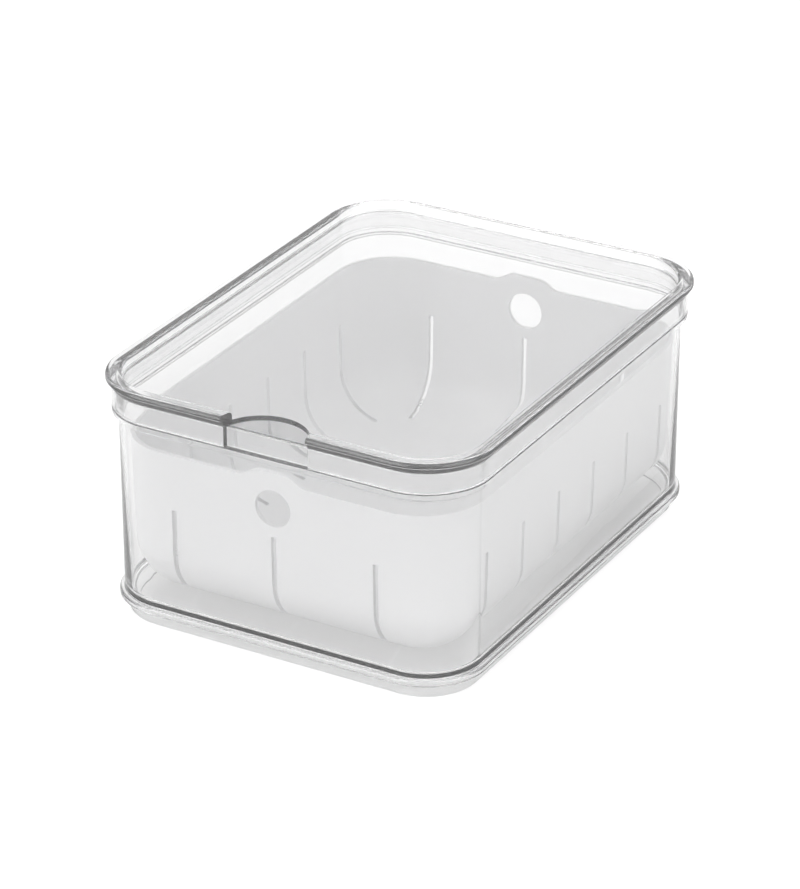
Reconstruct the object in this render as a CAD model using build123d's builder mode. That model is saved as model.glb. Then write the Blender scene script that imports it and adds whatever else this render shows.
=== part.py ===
from build123d import *
import os

os.makedirs("parts", exist_ok=True)

# Driving dimensions, in millimetres
# X is the short side, Y the long side, and Z is up from the surface that the foot stands on
width = 160.5
length = 211.3
corner_radius = 28.0
fit_gap = 0.3

# Bin
wall = 1.8
wall_inset = 4.6
wall_lean = 0.3
bin_height = 92.9
rim_rise = 7.8
ledge_inset = 2.1
ledge_thickness = 2.1
ledge_root_radius = 2.3
floor_height = 9.3
floor_thickness = 2.0
inside_corner_radius = 2.5
band_inset = 3.0
band_bottom = 6.0
band_width = 2.7
band_radius = 1.0
foot_inset = 6.0
foot_lean = 0.6
foot_wall = 2.2
foot_radius = 1.0

# Lid
plate_thickness = 2.0
bead_rise = 3.3
bead_width = 6.3
bead_radius = 1.6
bead_lip = 2.0
bead_undercut = 0.7
bead_root_radius = 1.4
skirt_wall = 1.8
notch_radius = 18.0
notch_offset = 1.0

# Colander
colander_gap = 0.9
colander_wall = 1.7
colander_height = 64.4
colander_draft = 0.9
colander_corner_radius = 24.5
colander_base_radius = 22.3
tab_rise = 3.6
tab_top_width = 14.0
tab_foot_width = 26.0
tab_radius = 5.0
finger_hole_diameter = 15.0
finger_hole_drop = 11.2
slot_width = 2.1
slot_drop = 23.1
slot_reach = 19.0
end_slot_pitch = 43.0
end_slot_count = 3
side_slot_pitch = 28.2
side_slot_count = 6

# Small roundings
edge_round = 0.4
rim_round = 0.6

# Heights that follow from the sizes above
ledge_height = bin_height - rim_rise
floor_underside = floor_height - floor_thickness
band_top = band_bottom + band_width
plate_underside = bin_height + fit_gap
plate_top = plate_underside + plate_thickness
lid_top = plate_top + bead_rise
skirt_bottom = ledge_height + fit_gap
colander_bottom = floor_height + fit_gap
colander_rim = colander_bottom + colander_height
tab_top = colander_rim + tab_rise
slot_top = colander_rim - slot_drop
finger_hole_height = colander_rim - finger_hole_drop

# Insets from the outermost outline that follow from the sizes above
inner_wall_inset = wall_inset + wall
foot_bottom_inset = foot_inset + foot_lean
colander_inset = inner_wall_inset + colander_gap
plate_lap = 12.0

# Every moulding follows the same rounded outline, so its profile is drawn with
# x as the inset from that outline and y as the height, and is swept half way round
with BuildLine() as half_outline:
    FilletPolyline(
        (width / 2, 0),
        (width / 2, length / 2),
        (-width / 2, length / 2),
        (-width / 2, 0),
        radius=corner_radius,
    )
profile_plane = Plane(origin=(width / 2, 0, 0), x_dir=(-1, 0, 0), z_dir=(0, 1, 0))


# Clear bin: foot ring, raised floor, banded base, leaning wall, ledge and upright rim
with BuildPart() as bin_body:
    with BuildSketch(profile_plane):
        with BuildLine():
            outside = FilletPolyline(
                (plate_lap, floor_height),
                (inner_wall_inset + wall_lean, floor_height),
                (inner_wall_inset, bin_height),
                (wall_inset, bin_height),
                (wall_inset, ledge_height),
                (ledge_inset, ledge_height),
                (ledge_inset, ledge_height - ledge_thickness),
                (wall_inset, ledge_height - ledge_thickness),
                (wall_inset + wall_lean, band_top),
                (band_inset, band_top),
                (band_inset, band_bottom),
                (foot_inset, band_bottom),
                (foot_bottom_inset, 0),
                (foot_bottom_inset + foot_wall, 0),
                (foot_inset + foot_wall, floor_underside),
                (plate_lap, floor_underside),
                radius=[
                    inside_corner_radius,
                    rim_round,
                    rim_round,
                    edge_round,
                    edge_round,
                    edge_round,
                    ledge_root_radius,
                    edge_round,
                    band_radius,
                    rim_round,
                    edge_round,
                    foot_radius,
                    edge_round,
                    edge_round,
                ],
            )
            Line(outside @ 1, outside @ 0)
        make_face()
    sweep(path=half_outline.line)
    mirror(about=Plane.XZ)
    with BuildSketch(Plane.XY.offset(floor_underside)):
        RectangleRounded(
            width - 2 * plate_lap + 2 * wall,
            length - 2 * plate_lap + 2 * wall,
            corner_radius - plate_lap + wall,
        )
    extrude(amount=floor_thickness)
bin_body.part.label = "bin"
export_step(bin_body.part, "parts/bin.step")


# Clear lid: flat plate, raised rounded bead, skirt over the bin's rim, finger notch
with BuildPart() as lid:
    with BuildSketch(profile_plane):
        with BuildLine():
            outside = FilletPolyline(
                (plate_lap, plate_top),
                (bead_width, plate_top),
                (bead_width, lid_top),
                (0, lid_top),
                (0, lid_top - bead_lip),
                (ledge_inset, lid_top - bead_lip - bead_undercut),
                (ledge_inset, skirt_bottom),
                (ledge_inset + skirt_wall, skirt_bottom),
                (ledge_inset + skirt_wall, plate_underside),
                (plate_lap, plate_underside),
                radius=[
                    bead_root_radius,
                    bead_radius,
                    bead_radius,
                    edge_round,
                    edge_round,
                    edge_round,
                    edge_round,
                    edge_round,
                ],
            )
            Line(outside @ 1, outside @ 0)
        make_face()
    sweep(path=half_outline.line)
    mirror(about=Plane.XZ)
    with BuildSketch(Plane.XY.offset(plate_underside)):
        RectangleRounded(
            width - 2 * plate_lap + 2 * wall,
            length - 2 * plate_lap + 2 * wall,
            corner_radius - plate_lap + wall,
        )
    extrude(amount=plate_thickness)
    with BuildSketch(Plane.XY.offset(skirt_bottom)):
        with Locations((0, -length / 2 - notch_offset)):
            Circle(notch_radius)
    extrude(amount=lid_top - skirt_bottom, mode=Mode.SUBTRACT)
lid.part.label = "lid"
export_step(lid.part, "parts/lid.step")


# White colander: drafted tub with a deep base radius, finger tabs and wrap-round slots
with BuildPart() as tub_outside:
    with BuildSketch(Plane.XY.offset(tab_top)):
        RectangleRounded(
            width - 2 * colander_inset,
            length - 2 * colander_inset,
            colander_corner_radius,
        )
    extrude(amount=colander_bottom - tab_top, taper=colander_draft)
    fillet(tub_outside.faces().sort_by(Axis.Z)[0].edges(), colander_base_radius)

with BuildPart() as tub_inside:
    with BuildSketch(Plane.XY.offset(tab_top)):
        RectangleRounded(
            width - 2 * colander_inset - 2 * colander_wall,
            length - 2 * colander_inset - 2 * colander_wall,
            colander_corner_radius - colander_wall,
        )
    extrude(amount=colander_bottom + colander_wall - tab_top, taper=colander_draft)
    fillet(
        tub_inside.faces().sort_by(Axis.Z)[0].edges(),
        colander_base_radius - colander_wall,
    )

with BuildPart() as colander:
    add(tub_outside.part)
    add(tub_inside.part, mode=Mode.SUBTRACT)
    with BuildSketch(Plane.XZ):
        with BuildLine():
            rim_line = FilletPolyline(
                (-width / 2, colander_rim),
                (-tab_foot_width / 2, colander_rim),
                (-tab_top_width / 2, tab_top),
                (tab_top_width / 2, tab_top),
                (tab_foot_width / 2, colander_rim),
                (width / 2, colander_rim),
                radius=tab_radius,
            )
            Polyline(
                rim_line @ 1,
                (width / 2, tab_top + tab_rise),
                (-width / 2, tab_top + tab_rise),
                rim_line @ 0,
            )
        make_face()
    extrude(amount=length / 2, both=True, mode=Mode.SUBTRACT)
    with BuildSketch(Plane.XZ.offset(length / 2)):
        with Locations((0, finger_hole_height)):
            Circle(finger_hole_diameter / 2)
    extrude(amount=-length, mode=Mode.SUBTRACT)
    slot_height = slot_top - colander_bottom + fit_gap
    slot_middle = (slot_top + colander_bottom - fit_gap) / 2
    for side in (-1, 1):
        end_face = side * (length / 2 - colander_inset - slot_reach / 2)
        with Locations((0, end_face, slot_middle)):
            with GridLocations(end_slot_pitch, 1, end_slot_count, 1):
                Box(slot_width, slot_reach, slot_height, mode=Mode.SUBTRACT)
        side_face = side * (width / 2 - colander_inset - slot_reach / 2)
        with Locations((side_face, 0, slot_middle)):
            with GridLocations(1, side_slot_pitch, 1, side_slot_count):
                Box(slot_reach, slot_width, slot_height, mode=Mode.SUBTRACT)
colander.part.label = "colander"
export_step(colander.part, "parts/colander.step")
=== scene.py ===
import math

import bmesh
import bpy
from mathutils import Matrix, Vector


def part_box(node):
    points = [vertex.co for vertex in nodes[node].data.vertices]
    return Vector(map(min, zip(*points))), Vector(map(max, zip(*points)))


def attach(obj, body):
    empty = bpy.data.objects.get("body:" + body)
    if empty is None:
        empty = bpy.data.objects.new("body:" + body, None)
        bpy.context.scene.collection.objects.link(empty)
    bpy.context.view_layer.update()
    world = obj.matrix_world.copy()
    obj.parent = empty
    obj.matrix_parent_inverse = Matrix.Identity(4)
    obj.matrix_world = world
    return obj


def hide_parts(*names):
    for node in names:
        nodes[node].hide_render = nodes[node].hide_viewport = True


# Camera, worked out from the photograph's perspective
sensor_width = 36.0
focal_length_px = 4139.98
image_long_side_px = 889
camera_azimuth = math.radians(29.61)
camera_elevation = math.radians(26.5)
camera_distance = 1.59406
aim_height = 0.045
aim_right = -0.00247
aim_up = 0.00103

# Sizes of the clear mouldings in metres, where an inset is measured from the outermost outline
mm = 0.001
corner_radius = 28.0 * mm
plate_edge_inset = 12.0 * mm
edge_round = 0.4 * mm
rim_round = 0.6 * mm

# Bin
wall = 1.8 * mm
wall_inset = 4.6 * mm
wall_lean = 0.3 * mm
ledge_inset = 2.1 * mm
ledge_thickness = 2.1 * mm
ledge_root_radius = 2.3 * mm
ledge_drop = 7.8 * mm
floor_height = 9.3 * mm
floor_thickness = 2.0 * mm
inside_corner_radius = 2.5 * mm
band_inset = 3.0 * mm
band_bottom = 6.0 * mm
band_width = 2.7 * mm
band_radius = 1.0 * mm
foot_inset = 6.0 * mm
foot_lean = 0.6 * mm
foot_wall = 2.2 * mm
foot_radius = 1.0 * mm

# Lid, with a smaller fillet beside the bead than the solid has
plate_thickness = 2.0 * mm
bead_width = 6.3 * mm
bead_rise = 3.3 * mm
bead_radius = 1.6 * mm
bead_lip = 2.0 * mm
bead_undercut = 0.7 * mm
bead_root_radius = 0.5 * mm
skirt_wall = 1.8 * mm
notch_radius = 18.0 * mm
notch_offset = 1.0 * mm
notch_segments = 192
cut_edge_bevel = 0.25 * mm
cut_edge_segments = 3
cut_edge_angle = math.radians(50)

# Fineness and shading of the swept meshes
corner_steps = 40
rounding_step = math.radians(9)
sharp_angle = math.radians(30)

# Clear plastic, slightly hazy
clear_ior = 1.49
clear_transmission = 0.95
absorption_colour = (0.0, 0.0, 0.1, 1)
absorption_density = 6.0

# White plastic
white_colour = (0.92, 0.92, 0.925, 1)
white_roughness = 0.35
white_ior = 1.5

# Unevenness of each plastic's surface, as noise scale, strength and distance
clear_unevenness = (30, 0.02, 0.001)
white_unevenness = (900, 0.05, 0.0005)
noise_detail = 2.0

# Surroundings, as pairs of the sine of the elevation and the level of light there
sky_levels = ((-1.0, 0.3), (0.02, 0.3), (0.10, 0.6), (0.30, 0.6), (0.50, 0.4), (0.66, 1.15), (1.0, 1.15))

# Soft boxes, as azimuth and elevation in degrees and the level of light they add
soft_boxes = ((-25, 24, 3.5), (80, 24, 2.8), (200, 24, 0.5))

# Cosines of the angles from its middle at which a soft box begins and is full
box_begins = 0.86
box_full = 0.93

# Floor, with the distances from the object between which it darkens for all but the camera's rays: a
# painted pool of light, with a lighter colour and a glow near the object and a darker painted shade far
# off
floor_half_size = 3.0
near_floor = 0.70
far_floor = 1.10
# Painted light: the floor's colour near the object and its glow, with a darker painted shade far from it
painted_near_light = 0.4
painted_far_shade = 0.2
near_glow = 0.5
camera_glow = 0.2

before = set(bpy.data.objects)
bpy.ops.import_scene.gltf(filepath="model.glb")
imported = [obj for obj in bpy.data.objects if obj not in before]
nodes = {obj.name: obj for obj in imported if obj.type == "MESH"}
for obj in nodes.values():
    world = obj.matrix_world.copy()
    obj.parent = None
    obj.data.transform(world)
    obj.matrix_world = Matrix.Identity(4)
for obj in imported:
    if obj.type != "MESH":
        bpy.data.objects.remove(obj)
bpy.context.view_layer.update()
lid_low, lid_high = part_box("lid")
bin_low, bin_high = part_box("bin")
half_width = lid_high.x
half_length = lid_high.y


# Camera

def add_camera():
    """The camera of the photograph, aimed near the middle of the object."""
    back = Vector((
        math.sin(camera_azimuth) * math.cos(camera_elevation),
        -math.cos(camera_azimuth) * math.cos(camera_elevation),
        math.sin(camera_elevation),
    ))
    right = Vector((0, 0, 1)).cross(back).normalized()
    up = back.cross(right)
    aim = Vector((0, 0, aim_height)) + right * aim_right + up * aim_up
    camera = bpy.data.objects.new("camera", bpy.data.cameras.new("camera"))
    camera.data.sensor_width = sensor_width
    camera.data.lens = focal_length_px * sensor_width / image_long_side_px
    camera.matrix_world = Matrix.Translation(aim + back * camera_distance) @ Matrix((
        (right.x, up.x, back.x, 0),
        (right.y, up.y, back.y, 0),
        (right.z, up.z, back.z, 0),
        (0, 0, 0, 1),
    ))
    bpy.context.scene.collection.objects.link(camera)
    bpy.context.scene.camera = camera


# Swept shapes

def corner_arc(before, corner, after, radius):
    """Points of the arc that rounds a corner of a profile."""
    to_before = (before - corner).normalized()
    to_after = (after - corner).normalized()
    half_angle = to_before.angle(to_after) / 2
    setback = radius / math.tan(half_angle)
    centre = corner + (to_before + to_after).normalized() * radius / math.sin(half_angle)
    start = corner + to_before * setback - centre
    turn = math.pi - 2 * half_angle
    side = 1 if to_before.x * to_after.y - to_before.y * to_after.x < 0 else -1
    steps = max(2, round(turn / rounding_step))
    points = []
    for step in range(steps + 1):
        angle = side * turn * step / steps
        points.append(centre + Vector((
            start.x * math.cos(angle) - start.y * math.sin(angle),
            start.x * math.sin(angle) + start.y * math.cos(angle),
        )))
    return points


def rounded(corners):
    """A closed profile, given as corners of inset, height and radius, with each corner rounded."""
    points = []
    for index, (inset, height, radius) in enumerate(corners):
        before = Vector(corners[index - 1][:2])
        after = Vector(corners[(index + 1) % len(corners)][:2])
        corner = Vector((inset, height))
        if radius == 0:
            points.append(corner)
        else:
            points += corner_arc(before, corner, after, radius)
    return points


def outline_places():
    """Points and outward directions round the outermost outline, with even steps in the corners."""
    places = []
    for side_x, side_y, first in ((1, 1, 0), (-1, 1, 90), (-1, -1, 180), (1, -1, 270)):
        centre = Vector((side_x * (half_width - corner_radius), side_y * (half_length - corner_radius)))
        for step in range(corner_steps + 1):
            angle = math.radians(first + 90 * step / corner_steps)
            outward = Vector((math.cos(angle), math.sin(angle)))
            places.append((centre + outward * corner_radius, outward))
    return places


def new_piece(name, mesh):
    """A piece in the scene that takes over the given mesh."""
    data = bpy.data.meshes.new(name)
    mesh.to_mesh(data)
    mesh.free()
    piece = bpy.data.objects.new(name, data)
    bpy.context.scene.collection.objects.link(piece)
    return piece


def swept(name, profile):
    """The profile swept round the outline, with flat plates that close its first and last points."""
    mesh = bmesh.new()
    rings = []
    for point, outward in outline_places():
        rings.append([
            mesh.verts.new((point.x - outward.x * inset, point.y - outward.y * inset, height))
            for inset, height in profile
        ])
    for index, ring in enumerate(rings):
        following = rings[(index + 1) % len(rings)]
        for step in range(len(profile) - 1):
            mesh.faces.new((ring[step], following[step], following[step + 1], ring[step + 1]))
    mesh.faces.new([ring[0] for ring in rings])
    mesh.faces.new([ring[-1] for ring in reversed(rings)])
    bmesh.ops.recalc_face_normals(mesh, faces=mesh.faces)
    return new_piece(name, mesh)


def shade(piece):
    """Smooth shading that keeps the sharp edges."""
    piece.data.shade_smooth()
    piece.data.set_sharp_from_angle(angle=sharp_angle)


def apply_modifiers(piece):
    """The piece's mesh as its modifiers leave it."""
    evaluated = piece.evaluated_get(bpy.context.evaluated_depsgraph_get())
    data = bpy.data.meshes.new_from_object(evaluated)
    piece.modifiers.clear()
    piece.data = data


# Clear mouldings

def bin_shell():
    """The bin, with its rim, ledge, leaning wall, band, foot ring and raised floor."""
    top = bin_high.z
    ledge_top = top - ledge_drop
    underside = floor_height - floor_thickness
    piece = swept("bin_shell", rounded([
        (plate_edge_inset, floor_height, 0),
        (wall_inset + wall + wall_lean, floor_height, inside_corner_radius),
        (wall_inset + wall, top, rim_round),
        (wall_inset, top, rim_round),
        (wall_inset, ledge_top, edge_round),
        (ledge_inset, ledge_top, edge_round),
        (ledge_inset, ledge_top - ledge_thickness, edge_round),
        (wall_inset, ledge_top - ledge_thickness, ledge_root_radius),
        (wall_inset + wall_lean, band_bottom + band_width, edge_round),
        (band_inset, band_bottom + band_width, band_radius),
        (band_inset, band_bottom, rim_round),
        (foot_inset, band_bottom, edge_round),
        (foot_inset + foot_lean, 0, foot_radius),
        (foot_inset + foot_lean + foot_wall, 0, edge_round),
        (foot_inset + foot_wall, underside, edge_round),
        (plate_edge_inset, underside, 0),
    ]))
    shade(piece)
    return piece


def notch_cutter(middle_height, depth):
    """A round bar that stands where the finger notch is cut."""
    mesh = bmesh.new()
    bmesh.ops.create_cone(
        mesh,
        cap_ends=True,
        segments=notch_segments,
        radius1=notch_radius,
        radius2=notch_radius,
        depth=depth,
        matrix=Matrix.Translation((0, -half_length - notch_offset, middle_height)),
    )
    return new_piece("notch_cutter", mesh)


def cut_notch(piece, cutter):
    """The piece with the cutter's shape taken away and the cutter gone."""
    cut = piece.modifiers.new("notch", "BOOLEAN")
    cut.operation = "DIFFERENCE"
    cut.solver = "EXACT"
    cut.object = cutter
    apply_modifiers(piece)
    bpy.data.objects.remove(cutter)


def soften_cut_edges(piece):
    """A small bevel on the sharp edges that the cut leaves."""
    bevel = piece.modifiers.new("cut_edges", "BEVEL")
    bevel.width = cut_edge_bevel
    bevel.segments = cut_edge_segments
    bevel.limit_method = "ANGLE"
    bevel.angle_limit = cut_edge_angle
    bevel.harden_normals = True


def lid_shell():
    """The lid, with its flat plate, raised bead, skirt and finger notch."""
    top = lid_high.z
    plate_top = top - bead_rise
    plate_bottom = plate_top - plate_thickness
    skirt_bottom = lid_low.z
    piece = swept("lid_shell", rounded([
        (plate_edge_inset, plate_top, 0),
        (bead_width, plate_top, bead_root_radius),
        (bead_width, top, bead_radius),
        (0, top, bead_radius),
        (0, top - bead_lip, edge_round),
        (ledge_inset, top - bead_lip - bead_undercut, edge_round),
        (ledge_inset, skirt_bottom, edge_round),
        (ledge_inset + skirt_wall, skirt_bottom, edge_round),
        (ledge_inset + skirt_wall, plate_bottom, edge_round),
        (plate_edge_inset, plate_bottom, 0),
    ]))
    cut_notch(piece, notch_cutter((top + skirt_bottom) / 2, 4 * (top - skirt_bottom)))
    shade(piece)
    soften_cut_edges(piece)
    return piece


# Node helpers

def new_material(name):
    """A material with its node tree and its main shader."""
    material = bpy.data.materials.new(name)
    material.use_nodes = True
    tree = material.node_tree
    return material, tree, tree.nodes["Principled BSDF"]


def chained(tree, operation, *values):
    """A row of math nodes that combines the values, each a socket or a number."""
    result = values[0]
    for value in values[1:]:
        node = tree.nodes.new("ShaderNodeMath")
        node.operation = operation
        for socket, given in zip(node.inputs, (result, value)):
            if isinstance(given, (int, float)):
                socket.default_value = given
            else:
                tree.links.new(given, socket)
        result = node.outputs[0]
    return result


def mapped(tree, value, low, high, to_low, to_high):
    """The value, taken smoothly from low and high to to_low and to_high."""
    node = tree.nodes.new("ShaderNodeMapRange")
    node.interpolation_type = "SMOOTHSTEP"
    node.inputs["From Min"].default_value = low
    node.inputs["From Max"].default_value = high
    node.inputs["To Min"].default_value = to_low
    node.inputs["To Max"].default_value = to_high
    tree.links.new(value, node.inputs["Value"])
    return node.outputs["Result"]


def coordinate(tree, kind):
    """One kind of texture coordinate."""
    return tree.nodes.new("ShaderNodeTexCoord").outputs[kind]


def ray_kind(tree, kind):
    """1 for rays of one kind and 0 for the others."""
    return tree.nodes.new("ShaderNodeLightPath").outputs[kind]


def add_unevenness(tree, shader, unevenness):
    """Fine noise that disturbs the surface's normal."""
    scale, strength, distance = unevenness
    noise = tree.nodes.new("ShaderNodeTexNoise")
    noise.inputs["Scale"].default_value = scale
    noise.inputs["Detail"].default_value = noise_detail
    bump = tree.nodes.new("ShaderNodeBump")
    bump.inputs["Strength"].default_value = strength
    bump.inputs["Distance"].default_value = distance
    tree.links.new(coordinate(tree, "Object"), noise.inputs["Vector"])
    tree.links.new(noise.outputs["Fac"], bump.inputs["Height"])
    tree.links.new(bump.outputs["Normal"], shader.inputs["Normal"])


# Materials

def clear_plastic():
    """Clear moulded plastic that darkens slightly with depth."""
    material, tree, shader = new_material("clear_plastic")
    shader.inputs["Base Color"].default_value = (1, 1, 1, 1)
    shader.inputs["Roughness"].default_value = 0.0
    shader.inputs["IOR"].default_value = clear_ior
    shader.inputs["Transmission Weight"].default_value = clear_transmission
    add_unevenness(tree, shader, clear_unevenness)
    absorption = tree.nodes.new("ShaderNodeVolumeAbsorption")
    absorption.inputs["Color"].default_value = absorption_colour
    absorption.inputs["Density"].default_value = absorption_density
    tree.links.new(absorption.outputs["Volume"], tree.nodes["Material Output"].inputs["Volume"])
    return material


def white_plastic():
    """White satin plastic."""
    material, tree, shader = new_material("white_plastic")
    shader.inputs["Base Color"].default_value = white_colour
    shader.inputs["Roughness"].default_value = white_roughness
    shader.inputs["IOR"].default_value = white_ior
    add_unevenness(tree, shader, white_unevenness)
    return material


def floor_material():
    """White for the camera. For other rays, a painted pool of light round the object: the floor is
    lighter near it and darker far from it, and glows near it for reflected and refracted rays.
    """
    material, tree, shader = new_material("floor")
    shader.inputs["Roughness"].default_value = 1.0
    shader.inputs["Specular IOR Level"].default_value = 0.0
    shader.inputs["Emission Color"].default_value = (1, 1, 1, 1)
    distance = tree.nodes.new("ShaderNodeVectorMath")
    distance.operation = "LENGTH"
    tree.links.new(coordinate(tree, "Object"), distance.inputs[0])
    camera = ray_kind(tree, "Is Camera Ray")
    glossy = ray_kind(tree, "Is Glossy Ray")
    through = ray_kind(tree, "Is Transmission Ray")
    # Painted pool of light: lighter colour near the object, darker colour far from it
    near = mapped(tree, distance.outputs["Value"], near_floor, far_floor, 1.0, 0.0)
    near = chained(tree, "MAXIMUM", near, camera)
    colour = mapped(tree, near, 0.0, 1.0, painted_far_shade, painted_near_light)
    # Painted glow near the object for reflected and refracted rays; the camera's glow keeps the backdrop
    # white
    seen = chained(tree, "MAXIMUM", camera, glossy, through)
    seen_glow = chained(tree, "MULTIPLY", near, seen, near_glow)
    glow = chained(tree, "ADD", chained(tree, "MULTIPLY", camera, camera_glow), seen_glow)
    tree.links.new(colour, shader.inputs["Base Color"])
    tree.links.new(glow, shader.inputs["Emission Strength"])
    return material


def put_on(piece, material):
    """The piece with the material in place of any others."""
    piece.data.materials.clear()
    piece.data.materials.append(material)


# Surroundings

def sky_level(tree, direction):
    """The level of light by elevation."""
    split = tree.nodes.new("ShaderNodeSeparateXYZ")
    scale = tree.nodes.new("ShaderNodeMapRange")
    scale.inputs["From Min"].default_value = -1
    scale.inputs["From Max"].default_value = 1
    ramp = tree.nodes.new("ShaderNodeValToRGB")
    elements = ramp.color_ramp.elements
    elements.remove(elements[1])
    for index, (sine, level) in enumerate(sky_levels):
        place = (sine + 1) / 2
        element = elements[0] if index == 0 else elements.new(place)
        element.position = place
        element.color = (level, level, level, 1)
    tree.links.new(direction, split.inputs["Vector"])
    tree.links.new(split.outputs["Z"], scale.inputs["Value"])
    tree.links.new(scale.outputs["Result"], ramp.inputs["Fac"])
    return ramp.outputs["Color"]


def soft_box_level(tree, direction, azimuth, elevation, level):
    """The light that one soft box adds, in the directions near its middle."""
    turn = math.radians(azimuth)
    rise = math.radians(elevation)
    facing = tree.nodes.new("ShaderNodeVectorMath")
    facing.operation = "DOT_PRODUCT"
    facing.inputs[1].default_value = (
        math.sin(turn) * math.cos(rise),
        -math.cos(turn) * math.cos(rise),
        math.sin(rise),
    )
    tree.links.new(direction, facing.inputs[0])
    return mapped(tree, facing.outputs["Value"], box_begins, box_full, 0.0, level)


def add_world():
    """The light of the whole scene, which the camera itself sees as plain white or brighter."""
    world = bpy.data.worlds.new("studio")
    bpy.context.scene.world = world
    world.use_nodes = True
    tree = world.node_tree
    background = tree.nodes["Background"]
    direction = coordinate(tree, "Generated")
    level = sky_level(tree, direction)
    for azimuth, elevation, strength in soft_boxes:
        level = chained(tree, "ADD", level, soft_box_level(tree, direction, azimuth, elevation, strength))
    level = chained(tree, "MAXIMUM", level, ray_kind(tree, "Is Camera Ray"))
    background.inputs["Color"].default_value = (1, 1, 1, 1)
    tree.links.new(level, background.inputs["Strength"])
    tree.links.new(background.outputs["Background"], tree.nodes["World Output"].inputs["Surface"])


def add_floor():
    """A plain floor under the object."""
    half = floor_half_size
    mesh = bpy.data.meshes.new("floor")
    mesh.from_pydata(
        [(-half, -half, 0), (half, -half, 0), (half, half, 0), (-half, half, 0)],
        [],
        [(0, 1, 2, 3)],
    )
    floor = bpy.data.objects.new("floor", mesh)
    bpy.context.scene.collection.objects.link(floor)
    put_on(floor, floor_material())


# Scene

bpy.context.scene.view_settings.view_transform = "Standard"
add_camera()
add_world()
add_floor()
clear = clear_plastic()
for shell, node in ((bin_shell(), "bin"), (lid_shell(), "lid")):
    put_on(shell, clear)
    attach(shell, node)
    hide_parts(node)
put_on(nodes["colander"], white_plastic())
